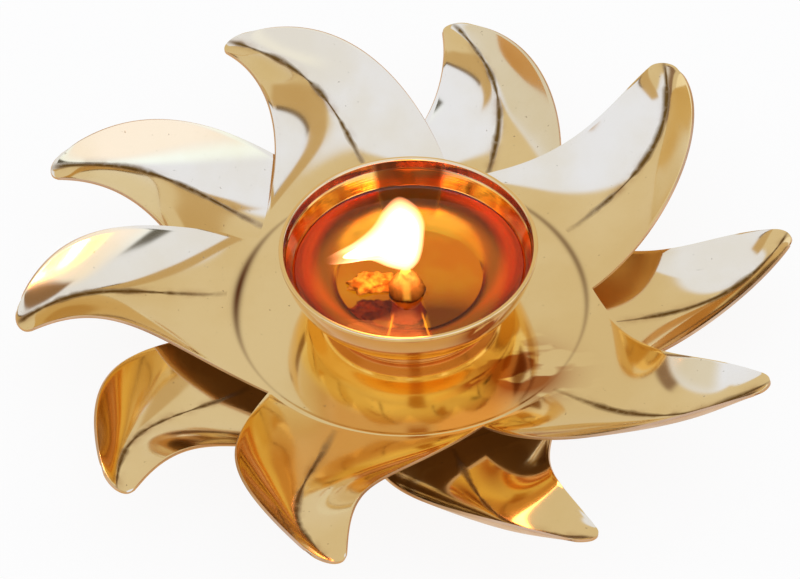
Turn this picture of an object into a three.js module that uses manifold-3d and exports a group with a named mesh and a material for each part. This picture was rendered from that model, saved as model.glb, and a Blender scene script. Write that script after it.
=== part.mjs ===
// Brass flower diya: a turned oil bowl stands on two stamped plates of five swept petals each,
// all drawn together by one stud that screws into a turned base. Millimetres, +Z up, table at z = 0.
import * as THREE from 'three';
import Module from 'manifold-3d';
import { mergeVertices } from 'three/addons/utils/BufferGeometryUtils.js';

// Base and stud
const baseRadius = 24;
const baseNeckRadius = 16.5;
const baseTopRadius = 19;
const baseHeight = 6;
const baseEdge = 1.2;
const baseBottomWall = 1.5;
const studRadius = 2.5;
const studClearance = 0.2;

// Petal plates
const sheet = 0.6;
const plateGap = 3.8;
const spacerRadius = 9;
const petalCount = 5;
const notchRadius = 42.5;
const notchAngle = -41;
const creaseRootAngle = -15;
const beadRadius = 41.6;
const beadWidth = 1.2;
const beadHeight = 0.3;
const upperStartAngle = 331.7;
const lowerStartAngle = 7.7;

// One petal in its own frame: x runs from the stud to the tip, y is the way the petals sweep,
// z is the height over the flat disc. Each curve is a cubic from the disc out to the tip.
const outerEdge = [[53.9, -32.9, 5.5], [76.6, -28.2, 23.9], [89.9, -4.8, 15.0]];
const innerEdge = [[58.9, 1.7, 0.9], [67.4, -1.2, 17.3], [87.8, 2.4, 13.2]];
const creaseLine = [[56, -12, 0.5], [75, -19.5, 8], [88.8, -0.9, 13.2]];
const tipPoint = [92.4, 0.1, 14.3];
const flankCurve = 2.1;
const tipCurve = 1.3;

// How each petal was bent by hand after stamping, measured at its tip: risen, swept round, twisted
const bendStart = 44;
const bendReach = 45;
const upperBends = [[2.8, -3.4, 0.5], [0.3, 1.7, -0.4], [-1.3, 2.8, 0.1], [-2.0, 1.4, 1.1], [-0.1, -2.9, -0.3]];
const lowerBends = [[-5.0, 2.2, -1.2], [-3.6, 2.4, 1.1], [4.8, 8.0, 0.3], [1.9, -0.8, -1.6], [2.1, -2.8, -1.0]];

// Oil bowl on its foot
const footRadius = 19.6;
const footTopRadius = 20.8;
const footHeight = 3.4;
const footCover = 1.0;
const bowlRadius = 29.8;
const bowlHeight = 15.2;
const lipWidth = 1.1;
const bellyRadius = 24.2;
const bellyHeight = 2.5;
const floorThickness = 1.0;
const upperStepDepth = 2.7;
const lowerStepDepth = 6.6;
const floorRadius = 16.5;
const oilDepth = 7.6;
const oilGap = 0.2;

// Cotton wick and flame
const wickX = -0.8;
const wickY = -7.4;
const wickGap = 0.3;
const wickRadius = 4.3;
const wickBallHeight = 11.1;
const stemRadius = 1.4;
const stemHeight = 2.3;
const flameGap = 0.3;
const flameDepth = 5.5;

// How finely the round and swept pieces are faceted
const turnSegments = 40;
const smallSegments = 20;
const basinSteps = 7;
const petalRows = 11;
const petalColumns = 8;
const flameSides = 28;
const flameRings = 10;

// Heights that follow from the stack
const lowerPlateZ = baseHeight;
const spacerZ = lowerPlateZ + sheet;
const upperPlateZ = spacerZ + plateGap;
const discTop = upperPlateZ + sheet;
const bowlZ = discTop + footHeight;
const bowlFloor = bowlZ + floorThickness;
const rimZ = bowlZ + bowlHeight;
const oilTop = bowlFloor + oilDepth;
const studHole = studRadius + studClearance;

const brass = new THREE.MeshStandardMaterial({ color: 0xd9b45c, roughness: 0.12, metalness: 1 });
const hiddenBrass = new THREE.MeshStandardMaterial({ color: 0xb9984f, roughness: 0.35, metalness: 1 });
const cotton = new THREE.MeshStandardMaterial({ color: 0xe8c890, roughness: 0.9, metalness: 0 });
const oil = new THREE.MeshStandardMaterial({ color: 0xd07a1a, roughness: 0.05, metalness: 0, transparent: true, opacity: 0.6 });
const fire = new THREE.MeshStandardMaterial({ color: 0xffe2a0, emissive: 0xffb347, roughness: 1, metalness: 0 });

const lamp = new THREE.Group();
const upperTurn = new THREE.Group();
const wickStand = new THREE.Group();
lamp.add(upperTurn, wickStand);

function addPiece(parent, name, geometry, material) {
  const mesh = new THREE.Mesh(geometry, material);
  mesh.name = name;
  parent.add(mesh);
  return mesh;
}

// A lathe about +Z from [radius, height] points that start and end on the axis, bottom first
function turned(profile, segments) {
  const points = profile.map(([radius, height]) => new THREE.Vector2(radius, height));
  return new THREE.LatheGeometry(points, segments).rotateX(Math.PI / 2);
}

function cubic(p0, p1, p2, p3) {
  return new THREE.CubicBezierCurve3(p0, p1, p2, p3);
}

// A petal's control point, moved as its hand bend asks
function bent([x, y, z], [rise, sweep, twist]) {
  const reach = Math.max(0, (x - bendStart) / bendReach);
  const across = 1 + y / 12;
  return new THREE.Vector3(x, y + sweep * reach, z + (rise + twist * across) * reach);
}

function onRoot(degrees) {
  const angle = THREE.MathUtils.degToRad(degrees);
  return new THREE.Vector3(notchRadius * Math.cos(angle), notchRadius * Math.sin(angle), 0);
}

// Angle round the stud of the column at v, from -1 at the outer edge by 0 at the crease to 1
function rootAngle(v) {
  const end = notchAngle + 360 / petalCount;
  return v < 0
    ? THREE.MathUtils.lerp(creaseRootAngle, notchAngle, -v)
    : THREE.MathUtils.lerp(creaseRootAngle, end, v);
}

// The petal's upper face: u runs from the disc (0) to the tip (1), v across it from edge to edge.
// Each row is drawn straight in plan from the crease to both edges, and rises as a power of the
// way across. Near the disc the rows bow out to its circle, and near the tip to the tip's arc.
function petalFace(bend) {
  const outer = cubic(onRoot(rootAngle(-1)), ...outerEdge.map((p) => bent(p, bend)));
  const inner = cubic(onRoot(rootAngle(1)), ...innerEdge.map((p) => bent(p, bend)));
  const crease = cubic(onRoot(rootAngle(0)), ...creaseLine.map((p) => bent(p, bend)));
  const tipArc = new THREE.QuadraticBezierCurve3(outer.v3, bent(tipPoint, bend), inner.v3);
  const row = (u, v) => {
    const low = crease.getPoint(u);
    const edge = (v < 0 ? outer : inner).getPoint(u);
    const way = Math.abs(v);
    const power = THREE.MathUtils.lerp(flankCurve, tipCurve, u);
    const point = low.clone().lerp(edge, way);
    point.z = low.z + (edge.z - low.z) * way ** power;
    return point;
  };
  return (u, v) => {
    const point = row(u, v);
    const rootPull = (1 - u) ** 3;
    const tipPull = THREE.MathUtils.smoothstep(u, 0.8, 1) ** 1.5;
    point.addScaledVector(onRoot(rootAngle(v)).sub(row(0, v)), rootPull);
    point.addScaledVector(tipArc.getPoint((v + 1) / 2).sub(row(1, v)), tipPull);
    return point;
  };
}

// One stamped plate: a flat disc with a stamped bead, and five petals, sheet thick. The top of the
// disc is at the sheet's own thickness over z = 0.
function petalPlate(bends, startAngle) {
  const columns = petalCount * petalColumns;
  const tops = [];
  const normals = [];
  const up = new THREE.Vector3(0, 0, 1);
  const discRows = [
    [studHole, 0],
    [spacerRadius, 0],
    [footTopRadius, 0],
    [(footTopRadius + beadRadius) / 2, 0],
    [beadRadius - beadWidth / 2, 0],
    [beadRadius, beadHeight],
    [beadRadius + beadWidth / 2, 0],
    [notchRadius, 0],
  ];
  const lastRing = discRows.length - 1;
  for (const [radius, height] of discRows) {
    for (let column = 0; column < columns; column++) {
      const petal = Math.floor(column / petalColumns);
      const v = (2 * (column % petalColumns)) / petalColumns - 1;
      const turn = THREE.MathUtils.degToRad(rootAngle(v) + startAngle + (petal * 360) / petalCount);
      tops.push(new THREE.Vector3(radius * Math.cos(turn), radius * Math.sin(turn), height));
      normals.push(up.clone());
    }
  }
  const faces = [];
  const step = 1e-3;
  for (let petal = 0; petal < petalCount; petal++) {
    const face = petalFace(bends[petal]);
    const turn = THREE.MathUtils.degToRad(startAngle + (petal * 360) / petalCount);
    const grid = [];
    for (let row = 0; row <= petalRows; row++) {
      const u = row / petalRows;
      const line = [];
      for (let column = 0; column <= petalColumns; column++) {
        if (row === 0) {
          line.push(lastRing * columns + ((petal * petalColumns + column) % columns));
          continue;
        }
        const v = (2 * column) / petalColumns - 1;
        const alongU = face(Math.min(u + step, 1), v).sub(face(Math.min(u + step, 1) - 2 * step, v));
        const sideV = Math.min(Math.max(v, step - 1), 1 - step);
        const alongV = face(u, sideV + step).sub(face(u, sideV - step));
        const normal = alongU.cross(alongV).normalize();
        line.push(tops.length);
        tops.push(face(u, v).applyAxisAngle(up, turn));
        normals.push(normal.applyAxisAngle(up, turn));
      }
      grid.push(line);
    }
    faces.push(grid);
  }
  return closedSheet(tops, normals, discRows.length, columns, faces);
}

// Joins the upper face, the lower face one sheet below it, and the walls round the outline
function closedSheet(tops, normals, rings, columns, petals) {
  const count = tops.length;
  const positions = [];
  for (const point of tops) {
    positions.push(point.x, point.y, point.z + sheet);
  }
  tops.forEach((point, index) => {
    const below = point.clone().addScaledVector(normals[index], -sheet);
    positions.push(below.x, below.y, below.z + sheet);
  });
  const indices = [];
  const quad = (a, b, c, d) => {
    indices.push(a, b, c, a, c, d);
    indices.push(count + a, count + c, count + b, count + a, count + d, count + c);
  };
  const wall = (a, b) => {
    indices.push(a, count + a, count + b, a, count + b, b);
  };
  for (let ring = 0; ring + 1 < rings; ring++) {
    for (let column = 0; column < columns; column++) {
      const next = (column + 1) % columns;
      const inside = ring * columns;
      const outside = inside + columns;
      quad(inside + column, outside + column, outside + next, inside + next);
      if (ring === 0) {
        wall(next, column);
      }
    }
  }
  for (const grid of petals) {
    for (let row = 0; row < petalRows; row++) {
      for (let column = 0; column < petalColumns; column++) {
        quad(grid[row][column], grid[row + 1][column], grid[row + 1][column + 1], grid[row][column + 1]);
      }
      wall(grid[row][0], grid[row + 1][0]);
      wall(grid[row + 1][petalColumns], grid[row][petalColumns]);
    }
    for (let column = 0; column < petalColumns; column++) {
      wall(grid[petalRows][column], grid[petalRows][column + 1]);
    }
  }
  const geometry = new THREE.BufferGeometry();
  geometry.setAttribute('position', new THREE.Float32BufferAttribute(positions, 3));
  geometry.setIndex(indices);
  return geometry;
}

function buildBase() {
  return turned([
    [0, 0],
    [baseRadius - baseEdge, 0],
    [baseRadius - 0.3 * baseEdge, 0.3 * baseEdge],
    [baseRadius, baseEdge],
    [baseRadius - baseEdge, 1.7 * baseEdge],
    [(baseRadius + baseNeckRadius) / 2, 0.42 * baseHeight],
    [baseNeckRadius, 0.62 * baseHeight],
    [baseNeckRadius, 0.75 * baseHeight],
    [baseTopRadius, 0.85 * baseHeight],
    [baseTopRadius, baseHeight],
    [studHole, baseHeight],
    [studHole, baseBottomWall],
    [0, baseBottomWall],
  ], turnSegments);
}

function buildStud() {
  const bottom = baseBottomWall + studClearance;
  const top = bowlZ - footCover - studClearance;
  return turned([[0, bottom], [studRadius, bottom], [studRadius, top], [0, top]], smallSegments);
}

function buildSpacer() {
  return turned([
    [studHole, spacerZ],
    [spacerRadius, spacerZ],
    [spacerRadius, spacerZ + plateGap],
    [studHole, spacerZ + plateGap],
    [studHole, spacerZ],
  ], smallSegments);
}

// The foot is bored from below for the stud
function buildFoot() {
  const waist = footRadius - 0.3;
  return turned([
    [0, bowlZ - footCover],
    [studHole, bowlZ - footCover],
    [studHole, discTop],
    [footRadius, discTop],
    [footRadius, discTop + 0.15 * footHeight],
    [waist, discTop + 0.35 * footHeight],
    [waist, discTop + 0.6 * footHeight],
    [footTopRadius, discTop + 0.9 * footHeight],
    [footTopRadius, bowlZ],
    [0, bowlZ],
  ], turnSegments);
}

// Points up the inside of the bowl, from the middle of its floor to the rim: a flat floor, a round
// basin, and two small turned steps under the lip
function bowlInside() {
  const rim = bowlRadius - lipWidth;
  const lowStep = rimZ - lowerStepDepth;
  const highStep = rimZ - upperStepDepth;
  const basin = cubic(
    new THREE.Vector3(floorRadius, bowlFloor),
    new THREE.Vector3(floorRadius + 3.0, bowlFloor + 0.8),
    new THREE.Vector3(rim - 4.2, lowStep - 4.0),
    new THREE.Vector3(rim - 2.4, lowStep - 0.1),
  );
  return [
    [0, bowlFloor],
    ...basin.getPoints(basinSteps).map((point) => [point.x, point.y]),
    [rim - 2.1, lowStep + 0.3],
    [rim - 0.9, THREE.MathUtils.lerp(lowStep, highStep, 0.62)],
    [rim - 0.5, highStep - 0.1],
    [rim - 0.2, highStep + 0.25],
    [rim, rimZ - 0.25 * lipWidth],
  ];
}

function buildBowl() {
  const wall = bowlRadius - bellyRadius;
  const belly = bowlZ + bellyHeight;
  const rise = rimZ - belly;
  const outside = [
    [0, bowlZ],
    [footTopRadius, bowlZ],
    [footTopRadius + 0.4, bowlZ + 0.45 * bellyHeight],
    [bellyRadius, belly],
    [bellyRadius + 0.32 * wall, belly + 0.18 * rise],
    [bellyRadius + 0.61 * wall, belly + 0.43 * rise],
    [bellyRadius + 0.82 * wall, belly + 0.68 * rise],
    [bellyRadius + 0.93 * wall, belly + 0.86 * rise],
    [bowlRadius, belly + 0.93 * rise],
    [bowlRadius, belly + 0.98 * rise],
    [bowlRadius - 0.45 * lipWidth, rimZ],
  ];
  return turned([...outside, ...bowlInside().reverse()], turnSegments);
}

// three.js geometry to a manifold solid and back
function toSolid(wasm, geometry) {
  const bare = geometry.clone();
  bare.deleteAttribute('normal');
  bare.deleteAttribute('uv');
  const merged = mergeVertices(bare, 1e-4);
  return new wasm.Manifold(new wasm.Mesh({
    numProp: 3,
    vertProperties: new Float32Array(merged.getAttribute('position').array),
    triVerts: new Uint32Array(merged.getIndex().array),
  }));
}

function toGeometry(solid) {
  const mesh = solid.getMesh();
  const geometry = new THREE.BufferGeometry();
  geometry.setAttribute('position', new THREE.BufferAttribute(mesh.vertProperties, 3));
  geometry.setIndex(new THREE.BufferAttribute(mesh.triVerts, 1));
  return geometry;
}

// Radius of the bowl's inside at a height over its floor
function insideRadius(height) {
  const points = bowlInside();
  const above = points.findIndex((point) => point[1] > height);
  const [highRadius, highZ] = points[above];
  const [lowRadius, lowZ] = points[above - 1];
  return THREE.MathUtils.mapLinear(height, lowZ, highZ, lowRadius, highRadius);
}

// The oil stands in the basin up to the lower step, and leaves a hole for the wick
function buildOil(wasm) {
  const basin = bowlInside()
    .filter(([, height]) => height < oilTop - oilGap)
    .map(([radius, height]) => [Math.max(0, radius - oilGap), height + oilGap]);
  const topRadius = insideRadius(oilTop) - oilGap;
  const pool = turned([...basin, [topRadius, oilTop], [0, oilTop]], turnSegments);
  const holeRadius = wickRadius + wickGap;
  const hole = new THREE.CylinderGeometry(holeRadius, holeRadius, 4 * oilDepth, smallSegments)
    .rotateX(Math.PI / 2)
    .translate(wickX, wickY, oilTop);
  return toGeometry(toSolid(wasm, pool).subtract(toSolid(wasm, hole)));
}

const wickFoot = bowlFloor + wickGap;
const stemFoot = wickFoot + wickBallHeight;
const stemTop = stemFoot + stemHeight;
const flameFoot = stemTop + flameGap;

// A ball of cotton, half out of the oil, pulled out into a short stem: turned about its own axis
function buildWick() {
  return turned([
    [0, wickFoot],
    [0.62 * wickRadius, wickFoot],
    [0.86 * wickRadius, wickFoot + 0.2 * wickBallHeight],
    [wickRadius, wickFoot + 0.5 * wickBallHeight],
    [wickRadius, wickFoot + 0.72 * wickBallHeight],
    [0.86 * wickRadius, wickFoot + 0.88 * wickBallHeight],
    [0.5 * wickRadius, wickFoot + 0.98 * wickBallHeight],
    [1.1 * stemRadius, stemFoot + 0.2 * stemHeight],
    [stemRadius, stemFoot + 0.5 * stemHeight],
    [0.8 * stemRadius, stemTop - 0.15 * stemHeight],
    [0.45 * stemRadius, stemTop],
    [0, stemTop],
  ], smallSegments);
}

// The flame's outline seen from the front, [x, z] from its foot: it is blown to the left, into a
// long tongue. Every section runs from the heart to the outline as a half ellipse, flameDepth deep.
const flameHeart = [-0.6, 8.5];
const flameOutline = [
  [0.4, 0], [2.8, 2.1], [4.0, 5.6], [4.6, 10.5], [4.7, 15.2], [2.8, 20.0], [-0.7, 22.8],
  [-3.9, 20.0], [-7.4, 13.4], [-12.1, 8.4], [-18.9, 3.4], [-13.1, 4.0], [-8.4, 4.0], [-4.0, 1.4],
];

function buildFlame() {
  const heart = new THREE.Vector3(flameHeart[0], 0, flameHeart[1]);
  const outline = new THREE.CatmullRomCurve3(
    flameOutline.map(([x, z]) => new THREE.Vector3(x, 0, z)), true, 'centripetal');
  const positions = [];
  for (let ring = 0; ring <= flameRings; ring++) {
    const lean = Math.PI * (ring / flameRings - 0.5);
    const sides = ring % flameRings === 0 ? 1 : flameSides;
    for (let side = 0; side < sides; side++) {
      const point = outline.getPointAt(side / flameSides).sub(heart).multiplyScalar(Math.cos(lean));
      positions.push(heart.x + point.x, 0.5 * flameDepth * Math.sin(lean), heart.z + point.z);
    }
  }
  const last = positions.length / 3 - 1;
  const indices = [];
  for (let side = 0; side < flameSides; side++) {
    const next = (side + 1) % flameSides;
    indices.push(0, 1 + side, 1 + next);
    for (let ring = 1; ring < flameRings - 1; ring++) {
      const a = 1 + (ring - 1) * flameSides;
      const b = a + flameSides;
      indices.push(a + side, b + side, b + next, a + side, b + next, a + next);
    }
    const rim = last - flameSides;
    indices.push(last, rim + next, rim + side);
  }
  const geometry = new THREE.BufferGeometry();
  geometry.setAttribute('position', new THREE.Float32BufferAttribute(positions, 3));
  geometry.setIndex(indices);
  return geometry;
}

const wasm = await Module();
wasm.setup();

addPiece(lamp, 'base', buildBase(), brass);
addPiece(lamp, 'stud', buildStud(), hiddenBrass);
addPiece(lamp, 'lower_petals', petalPlate(lowerBends, lowerStartAngle), brass).position.z = lowerPlateZ;
addPiece(lamp, 'spacer', buildSpacer(), hiddenBrass);
addPiece(upperTurn, 'upper_petals', petalPlate(upperBends, upperStartAngle), brass);
upperTurn.position.z = upperPlateZ;
addPiece(lamp, 'bowl_foot', buildFoot(), brass);
addPiece(lamp, 'bowl', buildBowl(), brass);
addPiece(lamp, 'oil', buildOil(wasm), oil);
wickStand.position.set(wickX, wickY, 0);
addPiece(wickStand, 'wick', buildWick(), cotton);
addPiece(wickStand, 'flame', buildFlame(), fire).position.z = flameFoot;

export default lamp;
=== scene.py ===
# %% [markdown]
# # A brass flower diya
# A diya is a small oil lamp. This one is a turned brass bowl on two stamped plates of petals, and
# a stud under the bowl draws the stack together. The CAD model fixes where each piece is and how
# it moves, so this lesson makes the surfaces that the light plays on, one piece at a time.

# %% Load the frame
import math
from functools import partialmethod

import bmesh
import bpy
import numpy as np
from mathutils import Matrix, Vector


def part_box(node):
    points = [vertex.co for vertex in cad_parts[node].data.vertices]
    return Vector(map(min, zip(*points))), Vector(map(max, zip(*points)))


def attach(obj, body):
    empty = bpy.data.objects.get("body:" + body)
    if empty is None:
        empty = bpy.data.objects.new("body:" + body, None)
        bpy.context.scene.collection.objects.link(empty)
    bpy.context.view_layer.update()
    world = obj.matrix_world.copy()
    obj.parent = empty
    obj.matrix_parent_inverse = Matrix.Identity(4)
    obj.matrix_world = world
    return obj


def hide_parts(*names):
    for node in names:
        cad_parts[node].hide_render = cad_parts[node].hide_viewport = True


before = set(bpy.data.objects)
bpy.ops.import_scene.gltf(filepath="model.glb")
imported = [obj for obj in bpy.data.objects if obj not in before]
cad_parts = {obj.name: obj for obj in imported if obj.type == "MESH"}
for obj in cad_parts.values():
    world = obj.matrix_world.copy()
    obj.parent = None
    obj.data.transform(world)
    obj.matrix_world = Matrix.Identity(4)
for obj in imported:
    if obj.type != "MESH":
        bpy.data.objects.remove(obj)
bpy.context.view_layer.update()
MM = 0.001
print("nodes:", sorted(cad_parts))

# %% [markdown]
# ## How high each piece stands
# The pieces rest on each other, so the height of one is the top of the one below. Reading these
# heights from the frame keeps the new surfaces on the CAD pieces that they stand for.


# %% Heights of the stack
def bottom_of(node):
    """Lowest z of a CAD node, in metres."""
    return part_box(node)[0].z


def top_of(node):
    """Highest z of a CAD node, in metres."""
    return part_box(node)[1].z


SHEET = 0.6 * MM
LOWER_Z = top_of("base") + SHEET
UPPER_Z = top_of("spacer") + SHEET
BOWL_Z = top_of("bowl_foot")
RIM_Z = top_of("bowl")
OIL_Z = top_of("oil")
print(f"plates at {LOWER_Z / MM:.1f} and {UPPER_Z / MM:.1f} mm, rim at {RIM_Z / MM:.1f} mm")

# %% [markdown]
# ## From arrays to meshes
# Every surface here is a grid of points worked out with numpy. A grid of point numbers turns into
# four-sided faces by pairing each point with its neighbours in the next row and column. Where a
# grid closes on itself, its first row or column is repeated at the end before the pairing.


# %% Grids, faces and objects
def quads(grid):
    """Faces of a grid of point numbers: each takes a point, the next row's, and both neighbours."""
    corners = [grid[:-1, :-1], grid[1:, :-1], grid[1:, 1:], grid[:-1, 1:]]
    return np.stack(corners, -1).reshape(-1, 4)


def numbers(points):
    """The point numbers of a grid of points, row by row."""
    return np.arange(points.shape[0] * points.shape[1]).reshape(points.shape[:2])


def add_piece(name, points, faces, attributes=None):
    """A smooth-shaded object at the origin, in metres, with a number on each point per attribute."""
    mesh = bpy.data.meshes.new(name)
    mesh.from_pydata(np.asarray(points).reshape(-1, 3), [], faces.tolist())
    for key, values in (attributes or {}).items():
        layer = mesh.attributes.new(key, "FLOAT", "POINT")
        layer.data.foreach_set("value", np.asarray(values, np.float32).ravel())
    mesh.shade_smooth()
    piece = bpy.data.objects.new(name, mesh)
    bpy.context.scene.collection.objects.link(piece)
    return piece


def weld(piece):
    """Merges the points that fall on each other, at a pole or a seam, and turns the faces out."""
    shape = bmesh.new()
    shape.from_mesh(piece.data)
    bmesh.ops.remove_doubles(shape, verts=shape.verts, dist=1e-3 * MM)
    bmesh.ops.recalc_face_normals(shape, faces=shape.faces)
    shape.to_mesh(piece.data)
    shape.free()


def round_z(radius, angle, height):
    """Points about +Z: x is radius cos(angle), y is radius sin(angle) and z is height."""
    return np.stack(np.broadcast_arrays(radius * np.cos(angle), radius * np.sin(angle), height), -1)


def spun(name, profile, segments, attributes=None):
    """Turns a profile of (radius, z) rows about +Z, with the first column of points repeated."""
    angle = np.linspace(0, 2 * np.pi, segments + 1)
    points = round_z(profile[:, 0, None], angle, profile[:, 1, None])
    spread = {key: np.repeat(values, segments + 1) for key, values in (attributes or {}).items()}
    piece = add_piece(name, points, quads(numbers(points)), spread)
    weld(piece)
    return piece


def bezier(ends, t):
    """A cubic: the four control points in the shares (1-t)^3, 3t(1-t)^2, 3t^2(1-t) and t^3."""
    a, b, c, d = np.asarray(ends, float)
    t = np.asarray(t)[..., None]
    return a * (1 - t) ** 3 + 3 * b * t * (1 - t) ** 2 + 3 * c * t**2 * (1 - t) + d * t**3


# %% [markdown]
# ## The stamped petals
# A press cuts each plate from sheet and dishes five petals into it at once. Each petal sweeps
# round like a flame, with a sharp valley along its middle and a spoon-shaped tip, and the hand
# that finished the lamp left every petal a little higher, lower or more twisted than the next.
#
# One petal could be sculpted and copied, but then all ten would be alike. Here a petal is a
# function of two numbers: u runs from the flat disc to the tip, and v from the outer edge (-1)
# over the crease (0) to the inner edge (1). Three cubics carry the edges and the crease.

# %% One petal as a surface
PETALS = 5
NOTCH_RADIUS = 42.5
NOTCH_ANGLE = -41
CREASE_ANGLE = -15
OUTER_EDGE = [[53.9, -32.9, 5.5], [76.6, -28.2, 23.9], [89.9, -4.8, 15.0]]
INNER_EDGE = [[58.9, 1.7, 0.9], [67.4, -1.2, 17.3], [87.8, 2.4, 13.2]]
CREASE_LINE = [[56, -12, 0.5], [75, -19.5, 8], [88.8, -0.9, 13.2]]
TIP_POINT = [92.4, 0.1, 14.3]
FLANK_CURVE = 2.1
TIP_CURVE = 1.3
TIP_STARTS = 0.8
TIP_ROUND = 3.0
BEND_START = 44
BEND_REACH = 45


def bent(points, bend):
    """Lifts, sweeps and twists control points in step with how far out they are: a petal's bend."""
    rise, sweep, twist = bend
    points = np.array(points, float)
    reach = np.clip((points[:, 0] - BEND_START) / BEND_REACH, 0, None)
    points[:, 2] += (rise + twist * (1 + points[:, 1] / 12)) * reach
    points[:, 1] += sweep * reach
    return points


def root_angle(v):
    """Degrees round the stud of column v, in straight steps from notch to crease to next notch."""
    return np.interp(v, [-1, 0, 1], [NOTCH_ANGLE, CREASE_ANGLE, NOTCH_ANGLE + 360 / PETALS])


def root(v):
    """Where column v leaves the flat disc: a point on the notch circle."""
    return round_z(NOTCH_RADIUS, np.radians(root_angle(v)), 0)


def petal(u, v, bend):
    """Points of one petal in millimetres, one row for each u and one column for each v.

    In plan a row runs straight from the crease to an edge. Its height rises as |v| to a power,
    from a round valley near the disc to a sharper one at the tip. Near the disc the rows are
    pulled onto its circle, and near the tip onto an arc that rounds it off: a cubic that sets out
    for the tip's point and comes in along the inner edge.
    """
    outer, inner, crease = (
        np.vstack([root(np.array([side])), bent(curve, bend)])
        for side, curve in ((-1.0, OUTER_EDGE), (1.0, INNER_EDGE), (0.0, CREASE_LINE))
    )

    def rows(u):
        low = bezier(crease, u)[:, None]
        edge = np.where(v[:, None] < 0, bezier(outer, u)[:, None], bezier(inner, u)[:, None])
        way = np.abs(v)[None, :, None]
        points = low + (edge - low) * way
        power = FLANK_CURVE + (TIP_CURVE - FLANK_CURVE) * u[:, None]
        points[..., 2] = low[..., 2] + (edge - low)[..., 2] * way[..., 0] ** power
        return points

    tip = bent([TIP_POINT], bend)[0]
    along_inner = (inner[3] - inner[2]) / np.linalg.norm(inner[3] - inner[2])
    out_of_outer = outer[3] + (tip - outer[3]) * 2 / 3
    into_inner = inner[3] + TIP_ROUND * along_inner
    tip_arc = bezier([outer[3], out_of_outer, into_inner, inner[3]], (v + 1) / 2)
    step = np.clip((u - TIP_STARTS) / (1 - TIP_STARTS), 0, 1)
    tip_pull = (step * step * (3 - 2 * step)) ** 1.5
    points = rows(u)
    points += ((1 - u) ** 3)[:, None, None] * (root(v) - rows(np.zeros(1)))
    points += tip_pull[:, None, None] * (tip_arc - rows(np.ones(1)))
    return points


def from_crease(face):
    """Millimetres from each point of a petal to the crease, along its own row."""
    middle = face.shape[1] // 2
    return np.linalg.norm(face - face[:, middle : middle + 1], axis=-1)


# %% [markdown]
# ## A whole plate
# The disc is rings of points that share their outermost ring with the petals, so there is no seam
# where a petal leaves it. A stamped bead runs round the disc, drawn as one cosine hump. The grid
# is only the upper face: Solidify gives the sheet its thickness, and a small Bevel breaks the cut
# edges, because it is the broken edge that catches a thin line of light.

# %% Plates
STUD_HOLE = 2.7
BEAD_RADIUS = 41.6
BEAD_WIDTH = 1.2
BEAD_HEIGHT = 0.04
# Painted shade and reflection in a ring inside the bead, wider at two sides:
BEAD_SHADE_WIDTH = 0.30
BEAD_SHADE_LEAST = 0.2
BEAD_SHADE_INSIDE = 0.36
BEAD_SHADE_SPREAD = 3.3
BEAD_SHADE_LOBES = [(170, 26, 0.8), (20, 36, 0.5)]
DARK_PATCH_AT = (24.5, -24.0)
DARK_PATCH_SIZE = (9.0, 7.5)
EDGE_BREAK = 0.14 * MM
ROWS = 64
HALF_COLUMNS = 20
UPPER_START = 331.7
LOWER_START = 7.7
UPPER_BENDS = [
    [2.8, -3.4, 0.5], [0.3, 1.7, -0.4], [-1.3, 2.8, 0.1], [-2.0, 1.4, 1.1], [-0.1, -2.9, -0.3],
]
LOWER_BENDS = [
    [-5.0, 2.2, -1.2], [-3.6, 2.4, 1.1], [4.8, 8.0, 0.3], [1.9, -0.8, -1.6], [2.1, -2.8, -1.0],
]


def turned_about_z(points, degrees):
    """Points turned about +Z: x cos - y sin, x sin + y cos."""
    c, s = math.cos(math.radians(degrees)), math.sin(math.radians(degrees))
    return points @ np.array([[c, s, 0], [-s, c, 0], [0, 0, 1]])


def disc_rings(columns):
    """Rings of the flat disc, with the bead as half a cosine wave over its width."""
    flat = np.linspace(STUD_HOLE, BEAD_RADIUS - 3 * BEAD_WIDTH, 20)
    flat = np.concatenate([flat, np.linspace(flat[-1], BEAD_RADIUS - BEAD_WIDTH / 2, 17)[1:]])
    hump = BEAD_RADIUS + BEAD_WIDTH * np.linspace(-0.5, 0.5, 9)[1:]
    radius = np.concatenate([flat, hump, [NOTCH_RADIUS]])
    from_bead = np.clip((radius - BEAD_RADIUS) / BEAD_WIDTH, -0.5, 0.5)
    height = BEAD_HEIGHT * (1 + np.cos(2 * np.pi * from_bead)) / 2
    return round_z(radius[:, None], np.radians(columns), height[:, None])


def painted_bead_shade(points):
    """Share of painted shade and reflection: a thin dark ring inside the bead, wider at two sides.

    Across the ring it is exp(-(distance / width)^2). Its width, its strength and how far it lies
    inside the bead all grow by two lobes, share times exp(-(turn / spread)^2), where it is thick.
    """
    radius = np.hypot(points[:, 0], points[:, 1])
    angle = np.degrees(np.arctan2(points[:, 1], points[:, 0]))
    lobes = np.zeros(len(points))
    for middle, spread, share in BEAD_SHADE_LOBES:
        turn = (angle - middle + 180) % 360 - 180
        lobes += share * np.exp(-((turn / spread) ** 2))
    width = BEAD_SHADE_WIDTH * (1 + BEAD_SHADE_SPREAD * lobes)
    strength = np.clip(BEAD_SHADE_LEAST + lobes, 0, 1)
    middle = BEAD_RADIUS - BEAD_SHADE_INSIDE * (1 + 2 * lobes)
    return strength * np.exp(-(((radius - middle) / width) ** 2))


def disc_dark_patch(points):
    """Share of a darker brown patch on the disc: exp(-(distance / size)^2), along both axes."""
    away = (points[:, :2] - DARK_PATCH_AT) / DARK_PATCH_SIZE
    return np.exp(-(away**2).sum(1))


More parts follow.
